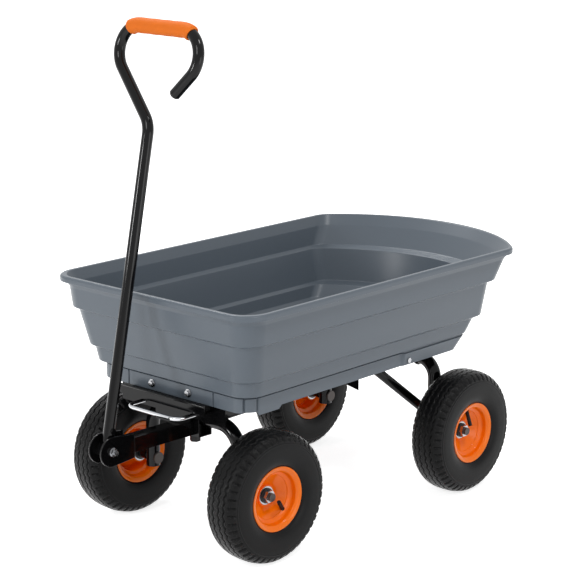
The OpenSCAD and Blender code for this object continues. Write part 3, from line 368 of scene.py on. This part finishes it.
def tubOutline(side, apron, rear):
    # rows are levels; columns go once round: half of the front, corner arc, side, step, side, corner arc,
    # half of the bow, and the same mirrored
    n = tubColumns
    one = np.ones((len(side), 1))
    y = (tub["width"] / 2 - side)[:, None]
    ya = (tub["width"] / 2 - apron)[:, None]
    x0 = (-tub["ahead"] + side)[:, None]
    rf = (tub["frontCorner"] - side * tub["cornerShrink"])[:, None]
    rr = (tub["rearCorner"] - apron * tub["cornerShrink"])[:, None]
    bow = tub["bowRadius"]
    bowX = (tub["length"] - tub["ahead"] - rear - bow)[:, None]
    turn = np.arcsin((ya - rr) / (bow - rr))
    cx, cy = bowX + (bow - rr) * np.cos(turn), ya - rr
    slot, across = tub["slotY"], tub["slotHalf"] * np.array([tub["slotColumns"]])
    fy = np.concatenate([between(0 * one, (slot + across[0, 0]) * one, n["front"]), slot + across * one,
                         between((slot - across[0, 0]) * one, y - rf, n["frontEnd"])], 1)
    a1 = between(math.pi * one, math.pi / 2 * one, n["corner"])
    a2 = between(math.pi / 2 * one, turn, n["rearCorner"])
    a3 = between(turn, 0 * one, n["bow"], True)
    s = between(0 * one, one, n["step"])
    footEnd = tub["footX"] + tub["footRun"]
    sx = np.concatenate([between(x0 + rf, tub["footX"] * one, n["foot"]),
                         between(tub["footX"] * one, footEnd * one, n["footRun"]),
                         between(footEnd * one, tub["stepX"] * one, n["side"])], 1)
    sx2 = between((tub["stepX"] + tub["stepRun"]) * one, cx, n["rearSide"])
    xs = [x0 + 0 * fy, x0 + rf + rf * np.cos(a1), sx,
          tub["stepX"] + tub["stepRun"] * s, sx2, cx + rr * np.cos(a2), bowX + bow * np.cos(a3)]
    ys = [fy, y - rf + rf * np.sin(a1), y + 0 * sx,
          y + (ya - y) * smoothStep(0, 1, s), ya + 0 * sx2, cy + rr * np.sin(a2), bow * np.sin(a3)]
    return np.concatenate(xs, 1), np.concatenate(ys, 1)


def skirtShape(columns):
    # for each column, how far the skirt hangs below its level, and the way of a slot along x and y
    n = tubColumns
    frontCount = n["front"] + len(tub["slotColumns"]) + n["frontEnd"]
    dropEnd = frontCount + n["cornerDrop"]
    footStart = frontCount + n["corner"] - n["cornerFoot"]
    footEnd = frontCount + n["corner"] + n["foot"]
    hang = np.zeros(columns)
    hang[:dropEnd] = tub["frontDrop"]
    hang[footStart:footEnd] = tub["footDrop"]
    fade = 1 - np.arange(n["footRun"]) / n["footRun"]
    hang[footEnd:footEnd + n["footRun"]] = tub["footDrop"] * fade
    cut = np.zeros((2, columns))
    middle = n["front"] + len(tub["slotColumns"]) // 2
    cut[0, middle:middle + 2] = 1.0
    cut[:, dropEnd - 1:dropEnd + 1] = tub["cornerSlotShare"] * np.array([tub["cornerSlotWay"]]).T
    cut[:, footStart - 2:footStart] = tub["cornerSlotShare"] * np.array([tub["footSlotWay"]]).T
    return hang, cut


def tubRings(levels):
    # a grid of rings, one per level; the last two columns are the shares of the skirt's hang and of its slots
    x, y = tubOutline(levels[:, 1], levels[:, 2], levels[:, 3])
    hang, cut = skirtShape(x.shape[1])
    back = slice(-2, 0, -1)
    x = np.concatenate([x, x[:, back]], 1)
    y = np.concatenate([y, -y[:, back]], 1)
    hang = np.concatenate([hang, hang[back]])
    cut = np.concatenate([cut, cut[:, back] * np.array([[1.0], [-1.0]])], 1)
    deep = levels[:, 5][:, None] * tub["slotDeep"]
    z = levels[:, 0][:, None] - levels[:, 4][:, None] * hang[None, :]
    return toRow(np.stack([x + deep * cut[0], y + deep * cut[1], z], -1))


def makeTub():
    # up the outside of the wall from the bed's underside, over the rim and down the inside to the floor
    outer = np.array(tub["outer"])
    inner = np.array(tub["inner"])
    wall = np.array([0.0, tub["wall"], tub["wall"], tub["wall"]])
    bed = np.array([tub["bedUnder"], *outer[1, 1:]])
    under = np.array([bed + tub["floorWalls"] * wall, bed + wall, outer[0] + wall])
    floor = np.array([inner[-1] + tub["floorWalls"] * wall])
    path = np.concatenate([under, outer, inner, floor])
    skirt = len(under)
    shares = np.zeros((len(path), 2))
    shares[skirt - 1:skirt + 1, 0] = 1.0
    shares[skirt:skirt + 2, 1] = 1.0
    path = softProfile(np.concatenate([path, shares], 1), tub["edge"])
    piece = makePiece("tubShell", [(tubRings(path), False, True, True, True)], materials["tub_plastic"],
                      "tub", ["tub"])
    piece.modifiers.new("evenShading", "WEIGHTED_NORMAL").weight = evenWeight


makeTub()
print("stage: tub")


# wheels: built on the local Z axis, outer face up, then set on their axles


def wheelToRow(points, name):
    side = -1.0 if name.endswith("left") else 1.0
    track = cart["frontTrack"] if name.startswith("front") else cart["rearTrack"]
    x, y, z = points[..., 0], points[..., 1], points[..., 2]
    placed = np.stack([x, side * (z + track / 2), cart["wheelRadius"] - side * y], -1)
    if name.startswith("front"):
        return steered(placed)
    return toRow(placed + np.array([cart["wheelbase"], 0.0, 0.0]))


tyre = {
    "width": 0.0816, "outer": 0.1299, "bead": 0.05585, "power": 3.0, "blocks": 48, "depth": 0.0034,
    "around": 480, "tread": 0.0460, "ridge": 0.0495, "treadFade": 0.004, "wallInset": 0.0007,
    # distances from the crown to the zigzag grooves, their swing, and where a groove's wall starts and ends
    "grooves": [0.0072, 0.0195], "swing": 0.0020, "grooveWall": [0.0006, 0.0016], "stagger": 0.25,
    "notchWall": [0.11, 0.16], "notchFrom": [0.0270, 0.0290],
    # height and width of the ridge, then of a raised and a sunk ring on the side wall, after their place
    "ridgeForm": [0.0007, 0.0007], "rings": [[0.092, 0.0006, 0.0018], [0.099, -0.0005, 0.0016]],
    # spacing of the section's points on the tread, on the side wall and near the ridge
    "samples": 6001, "treadGap": 0.0008, "wallGap": 0.0032, "ridgeGap": 0.0004, "ridgeReach": 0.0022,
}


def tyreSection():
    # a superellipse with its signed distance q from the crown; points lie close in the tread and at the ridge
    mid, high = (tyre["outer"] + tyre["bead"]) / 2, (tyre["outer"] - tyre["bead"]) / 2
    a = np.linspace(-math.pi, math.pi, tyre["samples"])
    e = 2 / tyre["power"]
    r = mid + high * np.sign(np.cos(a)) * np.abs(np.cos(a)) ** e
    h = tyre["width"] / 2 * np.sign(np.sin(a)) * np.abs(np.sin(a)) ** e
    run = np.concatenate([[0.0], np.cumsum(np.hypot(np.diff(r), np.diff(h)))])
    q = run - run[-1] / 2
    away = np.abs(q)
    density = np.where(away < tyre["tread"], 1 / tyre["treadGap"], 1 / tyre["wallGap"])
    density = np.where(np.abs(away - tyre["ridge"]) < tyre["ridgeReach"], 1 / tyre["ridgeGap"], density)
    count = np.concatenate([[0.0], np.cumsum((density[1:] + density[:-1]) / 2 * np.diff(run))])
    even = np.linspace(0.0, count[-1], int(count[-1]), endpoint=False)
    return np.interp(even, count, r), np.interp(even, count, h), np.interp(even, count, q)


def treadHeight(angle, q):
    # 1 on the rubber and 0 in the grooves: zigzag grooves each side of the crown, notches in the shoulders
    turn = angle * tyre["blocks"] / (2 * math.pi)
    away = np.abs(q)
    part = (turn + tyre["stagger"] * np.sign(q)) % 1.0
    zigzag = np.abs(part * 2 - 1) * 2 - 1
    inner, outer = [smoothStep(*tyre["grooveWall"], np.abs(away - groove - tyre["swing"] * zigzag))
                    for groove in tyre["grooves"]]
    notch = smoothStep(*tyre["notchWall"], np.abs(part - 0.5))
    reach = smoothStep(*tyre["notchFrom"], away)
    return inner * outer * (1 - reach * (1 - notch))


def tyreGrid():
    # the section carried round the axle, each point moved along its normal by grooves, rings and inset
    r, h, q = tyreSection()
    angle = np.linspace(0.0, 2 * math.pi, tyre["around"], endpoint=False)[:, None]
    tread = treadHeight(angle, q[None, :] + 0 * angle)
    away = np.abs(q)
    fade = 1 - smoothStep(tyre["tread"] - tyre["treadFade"], tyre["tread"], away)
    allRings = [[tyre["ridge"], *tyre["ridgeForm"]], *tyre["rings"]]
    rings = sum(high * np.exp(-((away - place) / wide) ** 2) for place, high, wide in allRings)
    dr, dh = np.gradient(r), np.gradient(h)
    size = np.hypot(dr, dh)
    nr, nh = dh / size, -dr / size
    inset = np.where(away > tyre["tread"], tyre["wallInset"], 0.0)
    lift = -tyre["depth"] * (1 - tread) * fade[None, :] + rings[None, :] - inset[None, :]
    radius, height = r[None, :] + nr[None, :] * lift, h[None, :] + nh[None, :] * lift
    grid = np.stack([radius * np.cos(angle), radius * np.sin(angle), height + 0 * angle], -1)
    return grid, fade + 0 * angle


treadPits = {"scale": 330.0, "detail": 2.0, "noiseRough": 0.7, "depth": 0.0011, "polish": 0.15}


def speckleTread(material, sideRough):
    # pits and polish on the tread alone: noise times the piece's "tread" share, as a bump under the fine one
    tree = material.node_tree
    share = tree.nodes.new("ShaderNodeAttribute")
    share.attribute_name = "tread"
    place = tree.nodes.new("ShaderNodeTexCoord")
    pits = addNode(tree, "ShaderNodeTexNoise", Scale=treadPits["scale"], Detail=treadPits["detail"],
                   Roughness=treadPits["noiseRough"])
    tree.links.new(place.outputs["Object"], pits.inputs["Vector"])
    deep = tree.nodes.new("ShaderNodeMath")
    deep.operation = "MULTIPLY"
    tree.links.new(pits.outputs["Fac"], deep.inputs[0])
    tree.links.new(share.outputs["Fac"], deep.inputs[1])
    bump = addNode(tree, "ShaderNodeBump", Strength=1.0, Distance=treadPits["depth"])
    tree.links.new(deep.outputs[0], bump.inputs["Height"])
    fine = next(node for node in tree.nodes if node.type == "BUMP" and node != bump)
    tree.links.new(bump.outputs["Normal"], fine.inputs["Normal"])
    polish = addNode(tree, "ShaderNodeMapRange", To_Min=sideRough, To_Max=treadPits["polish"])
    tree.links.new(share.outputs["Fac"], polish.inputs["Value"])
    grain = next(node for node in tree.nodes if node.type == "GROUP")
    tree.links.new(polish.outputs["Result"], grain.inputs["Roughness"])


rim = {"radius": 0.064, "half": 0.0335, "sheet": 0.0024, "edge": 0.0022, "pressed": 0.0050, "steps": 7,
       "seatDrop": 0.0095, "seatIn": 0.0055, "seatWidth": 0.010, "wellDrop": 0.0085,
       "hubWall": 0.0025, "hub": 0.01815, "hubIn": 0.033, "hubOut": 0.002, "web": -0.0025, "rise": 0.0155,
       "around": 144}


def rimProfile():
    # the pressed sheet in section: rolled edge, bead seat, well, coned web and hub tube, walked once round
    r, z, t = rim["radius"], rim["half"], rim["sheet"]
    seat, seatZ = r - rim["seatDrop"], z - rim["seatIn"]
    well, seatEnd = seat - rim["wellDrop"], seatZ - rim["seatWidth"]
    wellZ = seatEnd - 2 * t
    tyreSide = np.array([[r, z], [r, z - t], [seat + t, seatZ + t / 2], [seat, seatZ - t], [seat, seatEnd],
                         [well, wellZ]])
    dish = np.array([[r - t, z], [seat + t / 2, seatZ + 1.5 * t], [seat - t, seatZ], [seat - t, seatEnd],
                     [well - t, wellZ + t / 2]])
    flip = np.array([1.0, -1.0])
    hubOuter, wall = rim["hub"] + rim["hubWall"], well - t
    top = rim["web"] + rim["rise"]
    web = np.array([[wall, top - t], [hubOuter, rim["web"] - t], [hubOuter, -rim["hubIn"]],
                    [rim["hub"], -rim["hubIn"]], [rim["hub"], rim["hubOut"]], [hubOuter, rim["hubOut"]],
                    [hubOuter, rim["web"]], [wall, top]])
    loop = np.concatenate([tyreSide, tyreSide[::-1] * flip, dish * flip, web, dish[::-1]])
    cut = np.full((len(loop), 1), rim["edge"])
    cut[-len(dish) - 2:] = rim["pressed"]  # the outer dish and the web's face are pressed with softer bends
    return softLoop(loop, cut, rim["steps"])


tyreLocal, treadShare = tyreGrid()
speckleTread(materials["tyre_rubber"], finishes["tyre_rubber"]["rough"])
rimLocal = revolve(rimProfile(), rim["around"])
for name in wheelNames:
    skin = makePiece(name + "TyreSkin", [(wheelToRow(tyreLocal, name), True, True, True, False)],
                     materials["tyre_rubber"], name + "_wheel", [name + "_tyre"])
    skin.data.attributes.new("tread", "FLOAT", "POINT").data.foreach_set("value", treadShare.ravel())
    rimPiece = makePiece(name + "RimShell", [(wheelToRow(rimLocal, name), True, True, False, False)],
                         materials["rim_paint"], name + "_wheel", [name + "_rim"])
    rimPiece.modifiers.new("evenShading", "WEIGHTED_NORMAL").weight = evenWeight
print("stage: wheels")


# handle: a tube that rises, bends aside and closes over into an open loop

handle = {
    "radius": 0.011, "start": 0.016, "foot": 0.617, "top": 0.796, "halfWidth": 0.110, "bend": 0.048,
    "tail": 0.051, "sides": 32, "sharp": 40,
}
grip = {
    "radius": 0.015, "wrap": math.radians(30), "endCut": 0.0022, "endRun": 0.004,
    "wave": 0.0004, "waveTurn": 90, "sides": 40, "sharp": 50,
}
# points on each stretch of the handle's path and of the grip's
handlePoints = {"shaft": 20, "elbow": 14, "slant": 8, "corner": 36, "bar": 8, "tail": 6,
                "gripCorner": 16, "gripBar": 24}


def handleToRow(points):  # x across, y along the shaft, z forward of the loop's plane
    c, s = math.cos(cart["handleLean"]), math.sin(cart["handleLean"])
    x, y, z = points[..., 0], points[..., 1], points[..., 2]
    placed = np.stack([y * s + z * c - cart["drawLength"], x, y * c - z * s + cart["drawHeight"]], -1)
    return steered(placed)


def arcPoints(centre, start, turn, count):  # an arc of the handle's bend radius
    a, b = start + np.linspace(0.0, turn, count), handle["bend"]
    return np.stack([centre[0] + b * np.cos(a), centre[1] + b * np.sin(a), 0 * a], -1)


def linePoints(a, b, count):  # points between a and b, without the ends
    t = np.linspace(0.0, 1.0, count + 2)[1:-1, None]
    return np.array([*a, 0.0]) * (1 - t) + np.array([*b, 0.0]) * t


def handlePaths():
    # straight shaft, bend aside, slant, corner, top bar, corner and free tail; the grip lies on the top bar
    n, b = handlePoints, handle["bend"]
    cx, cy = handle["halfWidth"] - b, handle["top"] - b
    rise = cy - handle["foot"]
    turn = math.atan2(cx, rise) + math.asin(b / math.hypot(cx, rise))
    run = b * math.tan(turn / 2)
    first = arcPoints((b, handle["foot"] - run), math.pi, -turn, n["elbow"])
    second = arcPoints((cx, cy), -turn, math.pi / 2 + turn, n["corner"])
    third = arcPoints((-cx, cy), math.pi / 2, math.pi / 2 + turn, n["corner"])
    tailEnd = third[-1, :2] + handle["tail"] * np.array([math.sin(turn), -math.cos(turn)])
    start = (0.0, handle["start"])
    tube = [np.array([[*start, 0.0]]), linePoints(start, first[0, :2], n["shaft"]), first,
            linePoints(first[-1, :2], second[0, :2], n["slant"]), second,
            linePoints(second[-1, :2], third[0, :2], n["bar"]), third,
            linePoints(third[-1, :2], tailEnd, n["tail"]), np.array([[*tailEnd, 0.0]])]
    gripStart = arcPoints((cx, cy), math.pi / 2 - grip["wrap"], grip["wrap"], n["gripCorner"])
    gripEnd = arcPoints((-cx, cy), math.pi / 2, grip["wrap"], n["gripCorner"])
    wrap = [gripStart, linePoints(gripStart[-1, :2], gripEnd[0, :2], n["gripBar"]), gripEnd]
    return np.concatenate(tube), np.concatenate(wrap)


def makeHandle():
    tube, wrap = handlePaths()
    shaft = handleToRow(tubeAlong(tube, handle["radius"], handle["sides"]))
    makePiece("handleTubeSkin", [(shaft, False, True, True, True)], materials["frame_paint"], "handle",
              ["handle_tube"], sharp=handle["sharp"])
    # the foam's radius drops towards both ends and waves a little along the run
    run = np.concatenate([[0.0], np.cumsum(np.linalg.norm(np.diff(wrap, axis=0), axis=1))])
    ends = np.minimum(run, run[-1] - run)
    swell = grip["radius"] - grip["endCut"] * (1 - smoothStep(0.0, grip["endRun"], ends)) \
        - grip["wave"] * np.sin(run * grip["waveTurn"]) ** 2
    foam = handleToRow(tubeAlong(wrap, swell, grip["sides"]))
    makePiece("handleGripFoam", [(foam, False, True, True, True)], materials["grip_foam"], "handle",
              ["handle_grip"], sharp=grip["sharp"])


makeHandle()
print("stage: handle")


# latch springs: a round wire wound on each arm of the bail

spring = {"start": -0.057, "length": 0.025, "wire": 0.0016, "mean": 0.0066, "turns": 6, "gap": 0.0003,
          "armY": 0.070, "armZ": 0.277, "shut": 0.4, "turnPoints": 32, "sides": 10}


def makeSprings():
    # a helix about each arm, with the wire's half at both ends
    t = np.linspace(0.0, 1.0, spring["turns"] * spring["turnPoints"] + 1)
    a = t * spring["turns"] * 2 * math.pi
    x = spring["start"] + spring["gap"] + spring["wire"] / 2 \
        + t * (spring["length"] - spring["wire"] - spring["gap"])
    coils = [np.stack([x, side * spring["armY"] + spring["mean"] * np.cos(a),
                       spring["armZ"] + spring["mean"] * np.sin(a)], -1) for side in (-1, 1)]
    wires = [toRow(tubeAlong(coil, spring["wire"] / 2, spring["sides"])) for coil in coils]
    piece = makePiece("latchSpringCoils", [(wire, False, True, True, True) for wire in wires],
                      materials["zinc_steel"], "chassis", ["latch_springs"])
    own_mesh(piece)


makeSprings()
print("stage: springs")


# studio: pale floor, soft lamps and the camera of the photograph

studio = {
    "camera": (-2.7753754, -2.53272, 1.36299), "azimuth": -47.59, "elevation": 13.62, "lens": 118.518,
    "sensor": 36.0, "aim": (0.0, 0.0, 0.35), "world": 0.44,
    "floor": (0.90, 0.90, 0.90), "floorReach": 14.0, "floorRough": 0.9, "floorSpecular": 0.1,
    "lift": (0.80, 1.0), "liftFrom": 0.75, "liftTo": 2.1,  # the floor's lift to white, near and far
    "lamps": [("frontLamp", (-3.2, -0.7, 2.5), 1.0, 24.0), ("sideLamp", (-0.1, -3.6, 0.30), 1.8, 24.0),
              ("topLamp", (0.8, 2.2, 3.2), 1.2, 52.0), ("sparkLamp", (-3.2, 0.9, 1.05), 0.45, 20.0),
              ("nearTopLamp", (0.0, -1.5, 2.9), 0.50, 20.0)],
}


def seenDirectly(tree):  # 1 for camera, mirror and glass rays, 0 for diffuse light
    path = tree.nodes.new("ShaderNodeLightPath")
    first, second = tree.nodes.new("ShaderNodeMath"), tree.nodes.new("ShaderNodeMath")
    first.operation = second.operation = "MAXIMUM"
    tree.links.new(path.outputs["Is Camera Ray"], first.inputs[0])
    tree.links.new(path.outputs["Is Glossy Ray"], first.inputs[1])
    tree.links.new(first.outputs[0], second.inputs[0])
    tree.links.new(path.outputs["Is Transmission Ray"], second.inputs[1])
    return second.outputs[0]


def makeFloor():
    reach = studio["floorReach"]
    mesh = bpy.data.meshes.new("paleFloor")
    corners = [(-reach, -reach, 0), (reach, -reach, 0), (reach, reach, 0), (-reach, reach, 0)]
    mesh.from_pydata(corners, [], [(0, 1, 2, 3)])
    floor = bpy.data.objects.new("paleFloor", mesh)
    scene.collection.objects.link(floor)
    material = bpy.data.materials.new("paleFloorFinish")
    material.use_nodes = True
    tree = material.node_tree
    shader = tree.nodes["Principled BSDF"]
    shader.inputs["Base Color"].default_value = (*studio["floor"], 1)
    shader.inputs["Roughness"].default_value = studio["floorRough"]
    shader.inputs["Specular IOR Level"].default_value = studio["floorSpecular"]
    shader.inputs["Emission Color"].default_value = (1, 1, 1, 1)
    place = tree.nodes.new("ShaderNodeTexCoord")
    away = tree.nodes.new("ShaderNodeVectorMath")
    away.operation = "LENGTH"
    tree.links.new(place.outputs["Object"], away.inputs[0])
    grow = addNode(tree, "ShaderNodeMapRange", From_Min=studio["liftFrom"], From_Max=studio["liftTo"],
                   To_Min=studio["lift"][0], To_Max=studio["lift"][1])
    grow.interpolation_type = "SMOOTHSTEP"
    tree.links.new(away.outputs["Value"], grow.inputs["Value"])
    lift = tree.nodes.new("ShaderNodeMath")
    lift.operation = "MULTIPLY"
    tree.links.new(grow.outputs["Result"], lift.inputs[1])
    tree.links.new(seenDirectly(tree), lift.inputs[0])
    tree.links.new(lift.outputs[0], shader.inputs["Emission Strength"])
    mesh.materials.append(material)


def makeWorld():
    world = bpy.data.worlds.new("studioWorld")
    world.use_nodes = True
    tree = world.node_tree
    back = tree.nodes["Background"]
    back.inputs["Color"].default_value = (1, 1, 1, 1)
    strength = addNode(tree, "ShaderNodeMapRange")
    strength.inputs["To Min"].default_value = studio["world"]
    strength.inputs["To Max"].default_value = 1.0
    tree.links.new(seenDirectly(tree), strength.inputs["Value"])
    tree.links.new(strength.outputs["Result"], back.inputs["Strength"])
    scene.world = world


def makeStudio():
    camera = bpy.data.cameras.new("photoCamera")
    camera.lens, camera.sensor_width = studio["lens"], studio["sensor"]
    eye = bpy.data.objects.new("photoCamera", camera)
    eye.location = studio["camera"]
    eye.rotation_euler = (math.radians(90 - studio["elevation"]), 0.0, math.radians(studio["azimuth"]))
    scene.collection.objects.link(eye)
    scene.camera = eye
    for name, place, size, power in studio["lamps"]:
        lamp = bpy.data.lights.new(name, "AREA")
        lamp.size, lamp.energy = size, power
        obj = bpy.data.objects.new(name, lamp)
        obj.location = place
        ax, ay, az = np.array(studio["aim"]) - np.array(place)
        obj.rotation_euler = (math.atan2(math.hypot(ax, ay), -az), 0.0, math.atan2(-ax, ay))
        scene.collection.objects.link(obj)
    makeFloor()
    makeWorld()
    scene.view_settings.view_transform = "Standard"


makeStudio()
print("stage: studio")
